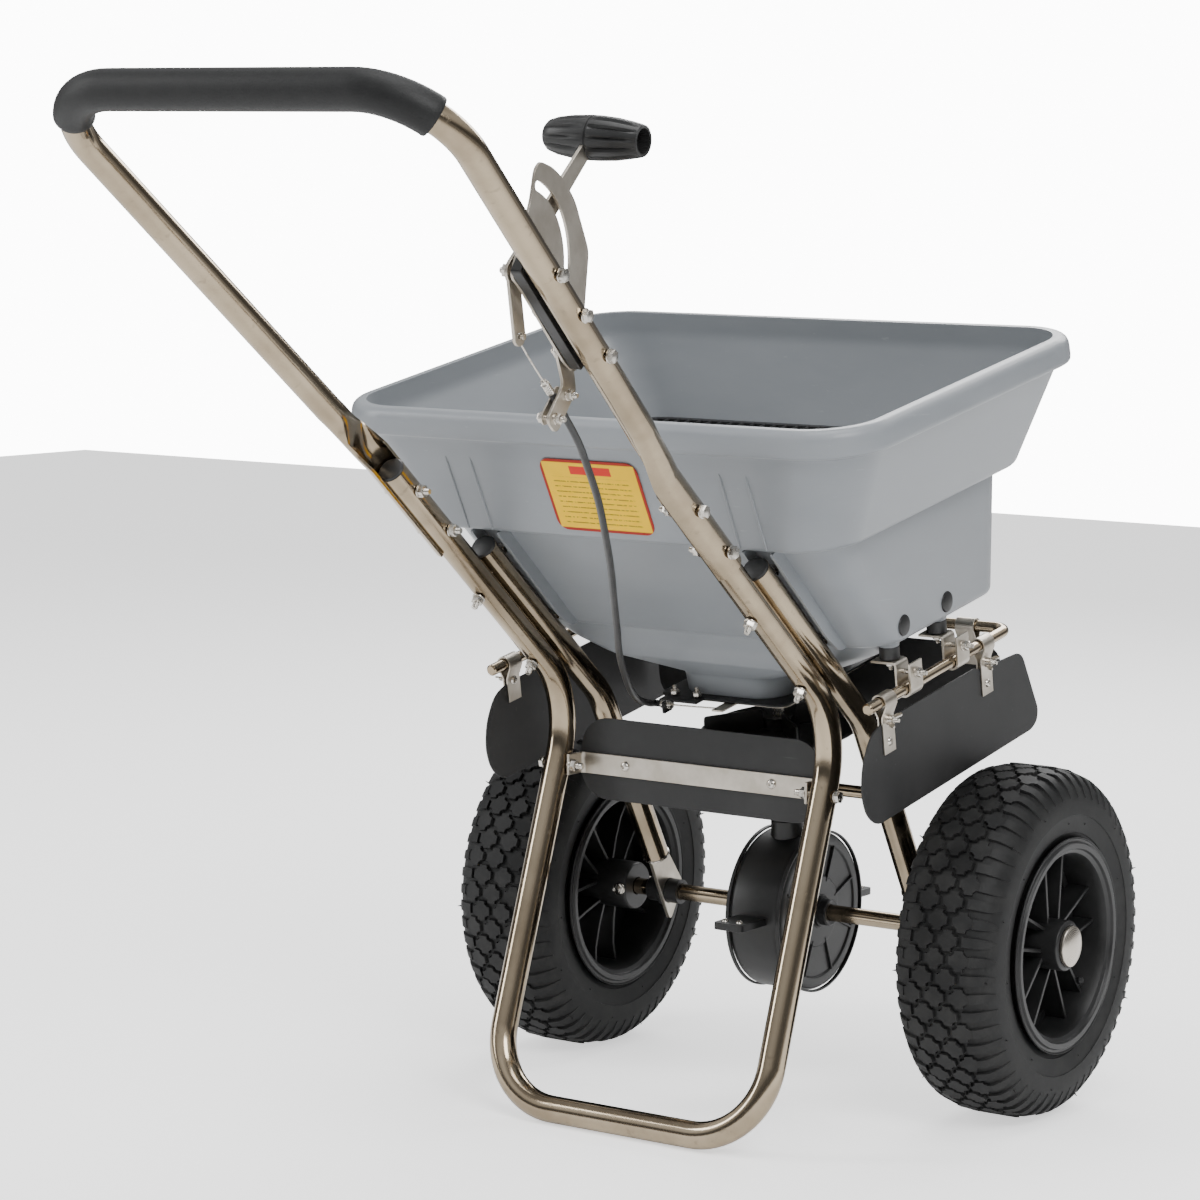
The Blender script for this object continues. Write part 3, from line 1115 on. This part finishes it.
def wheel(word, side, body):
    centre = MACHINE @ Matrix.Translation((side * WHEEL_X, 0, axle.z))
    sector = tread_sector()
    bmesh.ops.spin(sector, geom=list(sector.verts) + list(sector.edges) + list(sector.faces), cent=(0, 0, 0),
                   axis=(1, 0, 0),
                   angle=math.tau * (BLOCKS_ROUND - 1) / BLOCKS_ROUND, steps=BLOCKS_ROUND - 1,
                   use_duplicate=True)
    piece(f"tyre_{word}_rubber", [tyre_shape(centre @ X_AXIS), placed(sector, centre), *nubs(centre)], TYRE,
          body,
          [f"tyre_{word}"], smooth=38)

    outward = centre @ Matrix.Rotation(side * math.pi / 2, 4, "Y")
    flange = [(0.0840, 0.0400), (0.0870, 0.0480), (0.0905, 0.0500), (0.0915, 0.0528), (0.0965, 0.0530),
              (0.0975, 0.0505),
              (0.1000, 0.0503), (0.1014, 0.0520), (0.1020, 0.0500), (0.1005, 0.0480), (0.0925, 0.0475),
              (0.0910, 0.0450)]
    inner = [(r, -along) for r, along in flange[::-1]]
    parts = [placed(ring(flange + inner, 96), outward)]
    lip = [(0.0770, 0.0120), (0.0795, 0.0135), (0.0855, 0.0135), (0.0855, 0.0100), (0.0795, 0.0100),
           (0.0770, 0.0090)]
    parts.append(placed(ring(lip, 96), outward))
    collar = [(0.0086, 0.0520), (0.0190, 0.0520), (0.0205, 0.0524), (0.0236, 0.0510), (0.0240, 0.0490),
              (0.0240, -0.0600),
              (0.0225, -0.0625), (0.0086, -0.0625)]
    parts.append(placed(ring(collar, 56), outward))
    for i in range(5):
        for way in (-1, 1):
            root, tip = math.tau * i / 5 + way * 0.15, math.tau * i / 5 + way * 0.42
            start = Vector((0.0215 * math.cos(root), 0.0215 * math.sin(root), 0))
            end = Vector((0.0875 * math.cos(tip), 0.0875 * math.sin(tip), 0))
            across = Vector((0, 0, 1)).cross(end - start).normalized() * 0.0016
            depths = ((start, -0.0300, 0.0360), (start.lerp(end, 0.35), -0.0260, 0.0355),
                      (start.lerp(end, 0.7), -0.0240, 0.0350),
                      (end, -0.0260, 0.0345))
            rings = [[p + across + Vector((0, 0, low)), p - across + Vector((0, 0, low)),
                      p - across + Vector((0, 0, high)),
                      p + across + Vector((0, 0, high))] for p, low, high in depths]
            parts.append(placed(loft(rings), outward))
    disc = ring([(0.0225, -0.0045), (0.0225, 0.0045), (0.0420, 0.0018), (0.0420, -0.0018)], 72)
    parts.append(placed(disc, outward))
    for i in range(5):
        angle = math.tau * i / 5
        outline = [(0.040 * math.cos(angle + t), 0.040 * math.sin(angle + t)) for t in (-0.20, 0.0, 0.20)]
        outline += [(0.0875 * math.cos(angle + t), 0.0875 * math.sin(angle + t))
                    for t in (0.42, 0.28, 0.14, 0.0, -0.14, -0.28, -0.42)]
        parts.append(placed(slab(outline, -0.0018, 0.0018), outward))
    piece(f"rim_{word}_moulding", parts, MOULDED, body, [f"rim_{word}"], smooth=35,
          chamfer=0.0006)

    cap = [(0.0192, 0.0527), (0.0196, 0.0545), (0.0190, 0.0562), (0.0160, 0.0578), (0.0100, 0.0594),
           (0.0040, 0.0601), (0.0, 0.0602)]
    piece(f"hub_cap_{word}_dome", placed(lathe(cap, 64), outward), CAP, body,
          [f"hub_cap_{word}"])
    spot = outward @ Matrix.Rotation(0.9, 4, "Z") @ Matrix.Translation((0.0800, 0, 0.0130))
    stem = [(0.0, 0.0), (0.0046, 0.0), (0.0042, 0.0060), (0.0030, 0.0085), (0.0028, 0.0190), (0.0035, 0.0195),
            (0.0035, 0.0270),
            (0.0024, 0.0285), (0.0, 0.0285)]
    lean = Matrix.Rotation(-0.35, 4, "Y")
    piece(f"valve_{word}", placed(lathe(stem, 24), spot @ lean), MOULDED, body)


def drive_bolt():
    start = MACHINE @ Vector((-0.1890, -0.0248, axle.z))
    piece("drive_bolt", bolt_parts(start, (0, 1, 0), 0.0496, tail=0.0040, across=0.0095), BOLT, "axle",
          ["drive_pin"])


# ---- deflectors ----------------------------------------------------------------------------------


def rod():
    corners = [Vector(p) for p in ((-ROD_X, ROD_REAR, ROD_W), (-ROD_X, ROD_FRONT, ROD_W),
                                   (ROD_X, ROD_FRONT, ROD_W),
                                   (ROD_X, ROD_REAR, ROD_W))]
    path = bent(corners, (0.014, 0.014), 12)
    tip = Vector((0, 0.0014, 0))
    path = [path[0], path[0] + tip, *path[1:-1], path[-1] + tip, path[-1]]
    radii = [ROD_R - 0.0014] + [ROD_R] * (len(path) - 2) + [ROD_R - 0.0014]
    piece("rail", pipe([HEAD @ p for p in path], radii, 28, (0, 0, 1)), TUBE, "frame",
          ["deflector_rod"])


def hangers():
    """Strips folded round the rail, each under one of the hopper's posts and pinched by a bolt."""
    thick, top = 0.0024, 0.4605
    turn = ROD_R + GAP + 0.0002 + thick / 2
    for word, side in SIDES:
        for place, v in zip(("rear", "front"), HANGER_V):
            corner = bent([Vector((0.174, top, 0)), Vector((ROD_X - turn, top, 0)),
                           Vector((ROD_X - turn, ROD_W, 0))], (0.003,), 4)
            path = [(p.x, p.y) for p in corner[:-1]] + arc((ROD_X, ROD_W), turn, math.pi, math.tau, 16)
            path.append((ROD_X + turn, top + 0.001))
            path = [(side * x, w) for x, w in path]
            bar = placed(strip(path, thick, -v - 0.011, -v + 0.011), HEAD @ REAR_VIEW)
            name = f"rod_hanger_{word}_{place}"
            piece(f"{name}_strip", bar, PLATE, "frame", [name], chamfer=0.0004)
            start = HEAD @ Vector((side * (ROD_X - turn - thick / 2), v, 0.4512))
            parts = bolt_parts(start, (side, 0, 0), 2 * turn + thick, tail=0.0055, across=0.0080,
                               radius=0.0024, washer=False)
            down = HEAD.to_3x3() @ Vector((0, 0, -1))
            spot = HEAD @ Vector((side * 0.188, v, top - thick / 2))
            parts += [placed(hexagon(0.0080, 0.0040), axes_at(spot, down)),
                      placed(thread(0.0022, 0.0035, 0.0080), axes_at(spot, down))]
            piece(f"{name}_bolts", parts, BOLT, "frame")


def clip_path():
    thick = 0.0016
    turn = ROD_R + GAP + 0.0002 + thick / 2
    leaf = 0.001 + GAP + thick / 2
    path = [(-leaf, -0.038), (-leaf, -ROD_R - 0.009), (-turn, -0.004), *arc((0, 0), turn, math.pi, 0, 16)]
    return path + [(turn, -0.004), (leaf, -ROD_R - 0.009), (leaf, -0.049)]


def wing_nut():
    parts = [lathe([(0.0, 0.0), (0.0048, 0.0), (0.0040, 0.0052), (0.0, 0.0052)], 24),
             thread(0.0022, 0.0045, 0.0110)]
    for way in (-1, 1):
        wing = rounded([(0.0025, 0.0004), (0.0085, 0.0050), (0.0098, 0.0100), (0.0068, 0.0104),
                        (0.0025, 0.0050)], 0.0016)
        parts.append(placed(slab([(way * x, z) for x, z in wing], -0.0008, 0.0008),
                            Matrix.Rotation(math.pi / 2, 4, "X")))
    return parts


def clip(name, place, body):
    """A clip over the rail whose leaves hold a sheet between them; place puts its outward side along X."""
    bar = placed(strip(clip_path(), 0.0016, -0.010, 0.010), place @ REAR_VIEW)
    piece(f"{name}_strip", bar, PLATE, body, [name], chamfer=0.0003)
    outer = 0.001 + GAP + 0.0016
    parts = [placed(part,
                    place @ axes_at((outer, 0, -0.0180), (1, 0, 0), (0, 0.9, 0.45))) for part in wing_nut()]
    parts += [placed(part, place) for part in screw_parts((outer, 0, -0.0385), (1, 0, 0), 0.0040, 0.0020)]
    parts += [placed(part, place) for part in screw_parts((-outer, 0, -0.0180), (-1, 0, 0), 0.0045, 0.0024,
                                                          False)]
    piece(f"{name}_screws", parts, BOLT, body)


def deflectors():
    side_sheet = ((-0.120, 0.4190), (-0.145, 0.4130), (-0.1620, 0.3900), (-0.1675, 0.3650), (-0.1620, 0.3430),
                  (-0.145, 0.328),
                  (0.152, 0.328), (0.1640, 0.3330), (0.1680, 0.3440), (0.1420, 0.4090), (0.060, 0.4150),
                  (0.050, 0.4190))
    for word, side in SIDES:
        x = side * ROD_X
        sheet = placed(slab(rounded(side_sheet, 0.012), x - 0.001, x + 0.001), HEAD @ SIDE_VIEW)
        body = f"deflector_{word}"
        piece(f"{body}_sheet", sheet, SHEET, body, [body], chamfer=0.0005)
        for place, v in zip(("rear", "front"), (-0.116, 0.069)):
            spot = HEAD @ Matrix.Translation((x, v, ROD_W)) @ Matrix.Rotation(0 if side > 0 else math.pi, 4,
                                                                              "Z")
            clip(f"clip_{word}_{place}", spot, body)
    outline = rounded([(-0.196, 0.335), (0.196, 0.335), (0.196, ROD_W - 0.018), (-0.196, ROD_W - 0.018)],
                      0.020)
    sheet = placed(slab(outline, -ROD_FRONT - 0.001, -ROD_FRONT + 0.001), HEAD @ REAR_VIEW)
    piece("deflector_front_sheet", sheet, SHEET, "deflector_front", ["deflector_front"],
          chamfer=0.0005)
    for word, side in SIDES:
        spot = HEAD @ Matrix.Translation((side * 0.163, ROD_FRONT, ROD_W)) @ Matrix.Rotation(math.pi / 2, 4,
                                                                                             "Z")
        clip(f"clip_front_{word}", spot, "deflector_front")


# ---- control -------------------------------------------------------------------------------------
CONTROL_VIEW = CONTROL @ SIDE_VIEW
LEVER_B, LEVER_THICK, LEVER_LONG, LEVER_ANGLE = 0.0310, 0.0030, 0.1538, math.radians(43.3)
ARM_A, ARM_N, CABLE_B = 0.044, -0.031, 0.0350


def capsule(start, end, half, half_end=None, steps=8):
    angle = math.atan2(end[1] - start[1], end[0] - start[0])
    quarter = math.pi / 2
    return (arc(end, half_end or half, angle - quarter, angle + quarter, steps)
            + arc(start, half, angle + quarter, angle + 3 * quarter, steps))


SLOT_R, QUADRANT_B = 0.070, 0.0232


def quadrant():
    outline = [(-0.013, -0.004), (0.010, 0.055), (0.014, 0.0800), (0.021, 0.0864), (0.040, 0.0820),
               (0.056, 0.0735),
               (0.068, 0.0640), (0.078, 0.0545), (0.1030, 0.0150), (0.1005, -0.0500), (0.0930, -0.0840),
               (0.0760, -0.0760),
               (0.0000, -0.0120)]
    start, end, half = math.radians(-1.0), math.radians(74.0), 0.00425
    quarter = math.pi / 2
    tips = [(SLOT_R * math.cos(t), SLOT_R * math.sin(t)) for t in (end, start)]
    slot = (arc((0, 0), SLOT_R + half, start, end, 22)
            + arc(tips[0], half, end, end + 2 * quarter, 6)[1:-1]
            + arc((0, 0), SLOT_R - half, end, start, 22)
            + arc(tips[1], half, start + 2 * quarter, start + 4 * quarter, 6)[1:-1])
    face = -QUADRANT_B
    plate = placed(slab(rounded(outline, 0.007), face - 0.0025, face, [slot]), CONTROL_VIEW)
    piece("quadrant", plate, PLATE, "frame", ["quadrant_plate"], chamfer=0.0004)
    block_side = [on_handle(a, n) for a,
                  n in ((-0.014, -0.010), (0.116, -0.010), (0.116, 0.010), (-0.014, 0.010))]
    spacer = placed(slab(rounded(block_side, 0.003), -0.0229, -TUBE_R - GAP), CONTROL_VIEW)
    piece("spacer", spacer, MOULDED, "frame", ["quadrant_spacer"], chamfer=0.0006)


def lever():
    b = -LEVER_B
    top = (LEVER_LONG * math.cos(LEVER_ANGLE), LEVER_LONG * math.sin(LEVER_ANGLE))
    stop = (LEVER_LONG - 0.0185 + 0.004) / LEVER_LONG
    arm = capsule((0, 0), (top[0] * stop, top[1] * stop), 0.010, 0.0075)
    eye = on_handle(ARM_A, ARM_N)
    short = capsule((0, 0), eye, 0.0082)
    parts = [placed(slab(arm, b - LEVER_THICK / 2, b + LEVER_THICK / 2), CONTROL_VIEW),
             placed(slab(short, b - LEVER_THICK / 2 + 0.0001, b + LEVER_THICK / 2 - 0.0001,
                         [circle(eye, 0.0030)]), CONTROL_VIEW)]
    piece("lever_arm", parts, PLATE, "lever", ["control_lever"], chamfer=0.0004)

    half, r = 0.0455, 0.0185
    stations = [(-half, 0.40), (-half + 0.001, 0.55), (-half + 0.004, 0.70), (-half + 0.012, 0.84),
                (-0.020, 0.95), (-0.004, 1.0),
                (-0.0012, 1.0), (-0.0008, 0.96), (0.0008, 0.96), (0.0012, 1.0), (0.006, 1.0), (0.020, 0.95),
                (0.034, 0.83),
                (half - 0.003, 0.74), (half - 0.0006, 0.70), (half, 0.66), (half - 0.0006, 0.56),
                (half - 0.012, 0.54)]
    sides = 96
    rings = []
    for along, share in stations:
        flute = 0.13 * (0.004 < abs(along) < 0.040)
        rings.append([CONTROL @ Vector((-0.0285 + along,
                                        top[0] + r * share * (1 - flute * wave) * math.cos(angle),
                                        top[1] + r * share * (1 - flute * wave) * math.sin(angle)))
                      for angle in (math.tau * i / sides for i in range(sides))
                      for wave in [max(0.0, math.cos(12 * angle)) ** 2]])
    piece("lever_grip", loft(rings), MOULDED, "lever", ["lever_knob"], smooth=30)


def control_bolts():
    out = TUBE_R + 0.0009
    for name, a, deep in (("lever_pivot_bolt", 0.0, LEVER_B + LEVER_THICK / 2),
                          ("quadrant_bolt", 0.0520, 0.0257),
                          ("bracket_bolt", 0.1055, 0.0310)):
        start = CONTROL @ Vector((out, *on_handle(a, 0.0)))
        axis = CONTROL.to_3x3() @ Vector((-1, 0, 0))
        piece(f"{name}_set", bolt_parts(start, axis, out + deep + 0.0002, tail=0.0030, turn=a * 7), BOLT,
              "frame", [name])


def cable_end():
    side = ((0.096, 0.006), (0.116, 0.006), (0.143, -0.012), (0.143, -0.052), (0.139, -0.056),
            (0.127, -0.056),
            (0.123, -0.052), (0.123, -0.020), (0.096, -0.008))
    outline = rounded([on_handle(a, n) for a, n in side], 0.005)
    plate = placed(slab(outline, -0.0310, -0.0285), CONTROL_VIEW)
    piece("cable_plate", plate, PLATE, "frame", ["cable_bracket"], chamfer=0.0004)
    parts = []
    for a, n in ((0.1345, -0.0220), (0.1330, -0.0470)):
        start = CONTROL @ Vector((-0.0400, *on_handle(a, n)))
        axis = CONTROL.to_3x3() @ Vector((1, 0, 0))
        parts += bolt_parts(start, axis, 0.0115, tail=0.0040, across=0.0080, radius=0.0024)
    piece("cable_plate_bolts", parts, BOLT, "frame")
    keeper = capsule(on_handle(0.1345, -0.0220), on_handle(0.1330, -0.0470), 0.0062)
    keeper = placed(slab(keeper, -0.0398, -0.0382), CONTROL_VIEW)
    piece("cable_keeper", keeper, PLATE, "frame", chamfer=0.0003)

    start, end = (CONTROL @ Vector((-CABLE_B, *on_handle(a, ARM_N))) for a in (0.1040, 0.1200))
    profile = [(0.0012, 0.0), (0.0024, 0.0002), (0.0026, 0.0030), (0.0036, 0.0036)]
    for i in range(4):
        profile += [(0.0036, 0.0050 + i * 0.0025), (0.0031, 0.0056 + i * 0.0025),
                    (0.0036, 0.0062 + i * 0.0025)]
    profile += [(0.0036, 0.0160), (0.0, 0.0160)]
    piece("ferrule", placed(lathe([(0.0, 0.0), *profile], 28), axes_at(start, end - start)), BOLT, "frame",
          ["cable_ferrule"])
    eye = CONTROL @ Vector((-LEVER_B - 0.0024, *on_handle(ARM_A, ARM_N)))
    reach = start - eye
    path = [eye + reach * (i / 12) + Vector((0, 0, -0.0008 * math.sin(math.pi * i / 12))) for i in range(13)]
    wire = piece("inner_wire", pipe(path, 0.0008, 10), BOLT, None)
    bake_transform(wire)
    across = CONTROL.to_3x3() @ Vector((1, 0, 0))
    stub = [(0.0, -0.0042), (0.0026, -0.0042), (0.0026, -0.0012), (0.0018, -0.0010), (0.0018, 0.0042),
            (0.0028, 0.0044),
            (0.0028, 0.0052), (0.0, 0.0054)]
    spot = CONTROL @ Vector((-LEVER_B, *on_handle(ARM_A, ARM_N)))
    piece("wire_anchor", placed(lathe(stub, 20), axes_at(spot, across)), BOLT, "lever")


def smooth_route(points, count):
    """count points spread evenly along a smooth curve through the given ones."""
    dense = []
    padded = [points[0] * 2 - points[1], *points, points[-1] * 2 - points[-2]]
    for p0, p1, p2, p3 in zip(padded, padded[1:], padded[2:], padded[3:]):
        for i in range(16):
            t = i / 16
            dense.append(0.5 * (2 * p1 + (p2 - p0) * t + (2 * p0 - 5 * p1 + 4 * p2 - p3) * t * t
                                + (3 * p1 - p0 - 3 * p2 + p3) * t * t * t))
    dense.append(points[-1])
    lengths = [0.0]
    for a, b in zip(dense, dense[1:]):
        lengths.append(lengths[-1] + (b - a).length)
    even, i = [], 0
    for k in range(count):
        want = lengths[-1] * k / (count - 1)
        while i < len(dense) - 2 and lengths[i + 1] < want:
            i += 1
        share = (want - lengths[i]) / (lengths[i + 1] - lengths[i])
        even.append(dense[i].lerp(dense[i + 1], min(share, 1.0)))
    return even


def casing():
    route = [(0.1310, -0.5750, 0.6590), (0.1230, -0.5500, 0.6380), (0.1015, -0.5000, 0.6030),
             (0.0790, -0.4550, 0.5685),
             (0.0550, -0.4100, 0.5335), (0.0350, -0.3750, 0.5025), (0.0120, -0.3350, 0.4705),
             (-0.0120, -0.2950, 0.4420),
             (-0.0360, -0.2500, 0.4170), (-0.0530, -0.2150, 0.3980), (-0.0640, -0.1850, 0.3850),
             (-0.0640, -0.1660, 0.3790)]
    start = [CONTROL @ Vector((-CABLE_B, *on_handle(0.1200 + step, ARM_N))) for step in (0.0, 0.014)]
    end = [HEAD @ Vector((-0.052 - step, -0.084, 0.400)) for step in (0.012, 0.0)]
    points = smooth_route([*start, *machine(route), *end], 160)
    piece("casing", pipe(points, 0.0032, 20), SHEATH, "frame", ["cable_casing"])
    cap = [(0.0, -0.0060), (0.0034, -0.0060), (0.0042, -0.0052), (0.0042, 0.0028), (0.0036, 0.0034),
           (0.0036, 0.0060), (0.0, 0.0060)]
    cap = placed(lathe(cap, 24), axes_at(HEAD @ Vector((-0.051, -0.084, 0.400)), (1, 0, 0)))
    piece("casing_stop", cap, BOLT, "frame")
    tab = HEAD @ Vector((0.010, -0.084, GATE_TOP - 0.0033))
    wire = pipe([HEAD @ Vector((-0.046, -0.084, 0.400)), HEAD @ Vector((-0.020, -0.084, 0.4005)), tab],
                0.0008, 10)
    gate_wire = piece("gate_wire", wire, BOLT, None)
    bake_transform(gate_wire)


def keep_rest():
    """CAD nodes that are shown as they are, in finishes of their own."""
    for name, finish in (("impeller_shaft", BOLT), ("crown_gear", BOLT)):
        node = frame["nodes"][name]
        for place in node.material_slots:
            place.material = finish


# ---- studio --------------------------------------------------------------------------------------
def light(name, spot, aim, wide, tall, power, colour=(1, 1, 1)):
    lamp = bpy.data.lights.new(name, "AREA")
    lamp.shape, lamp.size, lamp.size_y, lamp.energy, lamp.color = "RECTANGLE", wide, tall, power, colour
    made = bpy.data.objects.new(name, lamp)
    made.location = spot
    made.rotation_euler = (Vector(aim) - Vector(spot)).to_track_quat("-Z", "Y").to_euler()
    bpy.context.scene.collection.objects.link(made)


def studio():
    floor = Finish("studio_floor")
    floor.feed(Base_Color=(0.92, 0.92, 0.92), Roughness=floor.noise(3.0) * 0.1 + 0.75)
    floor.shader.inputs["Emission Color"].default_value = (1.0, 1.0, 1.0, 1.0)
    floor.feed(Emission_Strength=floor.node("ShaderNodeLightPath") * 0.75 + 0.25)
    bm = bmesh.new()
    bmesh.ops.create_grid(bm, x_segments=8, y_segments=8, size=6.0)
    mesh = bpy.data.meshes.new("floor")
    bm.to_mesh(mesh)
    bm.free()
    mesh.materials.append(floor.material)
    ground = bpy.data.objects.new("floor", mesh)
    ground.location.z = -0.001
    bpy.context.scene.collection.objects.link(ground)
    world = bpy.data.worlds.new("studio")
    world.use_nodes = True
    nodes, links = world.node_tree.nodes, world.node_tree.links
    spot, split, ramp = (nodes.new(f"ShaderNode{kind}") for kind in ("TexCoord", "SeparateXYZ", "ValToRGB"))
    links.new(spot.outputs["Generated"], split.inputs[0])
    links.new(split.outputs["Z"], ramp.inputs["Fac"])
    shades = ((0.0, 0.35), (0.04, 0.30), (0.10, 0.12), (0.26, 0.14), (0.40, 0.75), (0.60, 0.95), (0.80, 0.40),
              (1.0, 0.30))
    while len(ramp.color_ramp.elements) < len(shades):
        ramp.color_ramp.elements.new(0.5)
    for stop, (place, shade) in zip(ramp.color_ramp.elements, shades):
        stop.position, stop.color = place, (shade, shade * 1.005, shade * 1.015, 1.0)
    seen, lit, path, mix = (nodes.new(f"ShaderNode{kind}") for kind in ("Background", "Background",
                                                                        "LightPath", "MixShader"))
    seen.inputs["Color"].default_value = (1.0, 1.0, 1.0, 1.0)
    seen.inputs["Strength"].default_value = 12.0
    links.new(ramp.outputs["Color"], lit.inputs["Color"])
    lit.inputs["Strength"].default_value = 1.0
    links.new(path.outputs["Is Camera Ray"], mix.inputs[0])
    links.new(lit.outputs[0], mix.inputs[1])
    links.new(seen.outputs[0], mix.inputs[2])
    links.new(mix.outputs[0], nodes["World Output"].inputs["Surface"])
    bpy.context.scene.world = world
    light("key", (2.6, -1.6, 2.9), (0, 0, 0.4), 1.8, 1.8, 100)
    light("fill", (-2.8, -1.8, 1.8), (0, 0, 0.4), 0.8, 2.6, 55)
    light("back", (-0.6, 3.0, 2.4), (0, 0, 0.4), 2.4, 1.2, 70)
    light("top", (0.2, -0.2, 3.4), (0, 0, 0.4), 2.0, 2.0, 55)


def camera():
    yaw, pitch, roll = 0.5961, 0.1132, 0.0133
    ahead = Vector((-math.sin(yaw) * math.cos(pitch), math.cos(yaw) * math.cos(pitch), -math.sin(pitch)))
    level = Vector((math.cos(yaw), math.sin(yaw), 0))
    up = level.cross(ahead)
    right = level * math.cos(roll) + up * math.sin(roll)
    above = up * math.cos(roll) - level * math.sin(roll)
    lens = bpy.data.cameras.new("camera")
    lens.sensor_width, lens.lens = 36.0, 112.97
    made = bpy.data.objects.new("camera", lens)
    made.matrix_world = (Matrix.Translation(MACHINE @ Vector((1.8720, -3.1047, 0.8763)))
                         @ Matrix((right, above, -ahead)).transposed().to_4x4())
    bpy.context.scene.collection.objects.link(made)
    bpy.context.scene.camera = made


def main():
    stand()
    struts()
    handle()
    frame_bolts()
    strap_and_guard()
    hopper()
    hopper_fittings()
    notice()
    screen()
    gate()
    impeller()
    gearbox()
    wheel("left", -1, "axle")
    wheel("right", 1, "wheel_right")
    drive_bolt()
    rod()
    hangers()
    deflectors()
    quadrant()
    lever()
    control_bolts()
    cable_end()
    casing()
    keep_rest()
    studio()
    camera()


main()
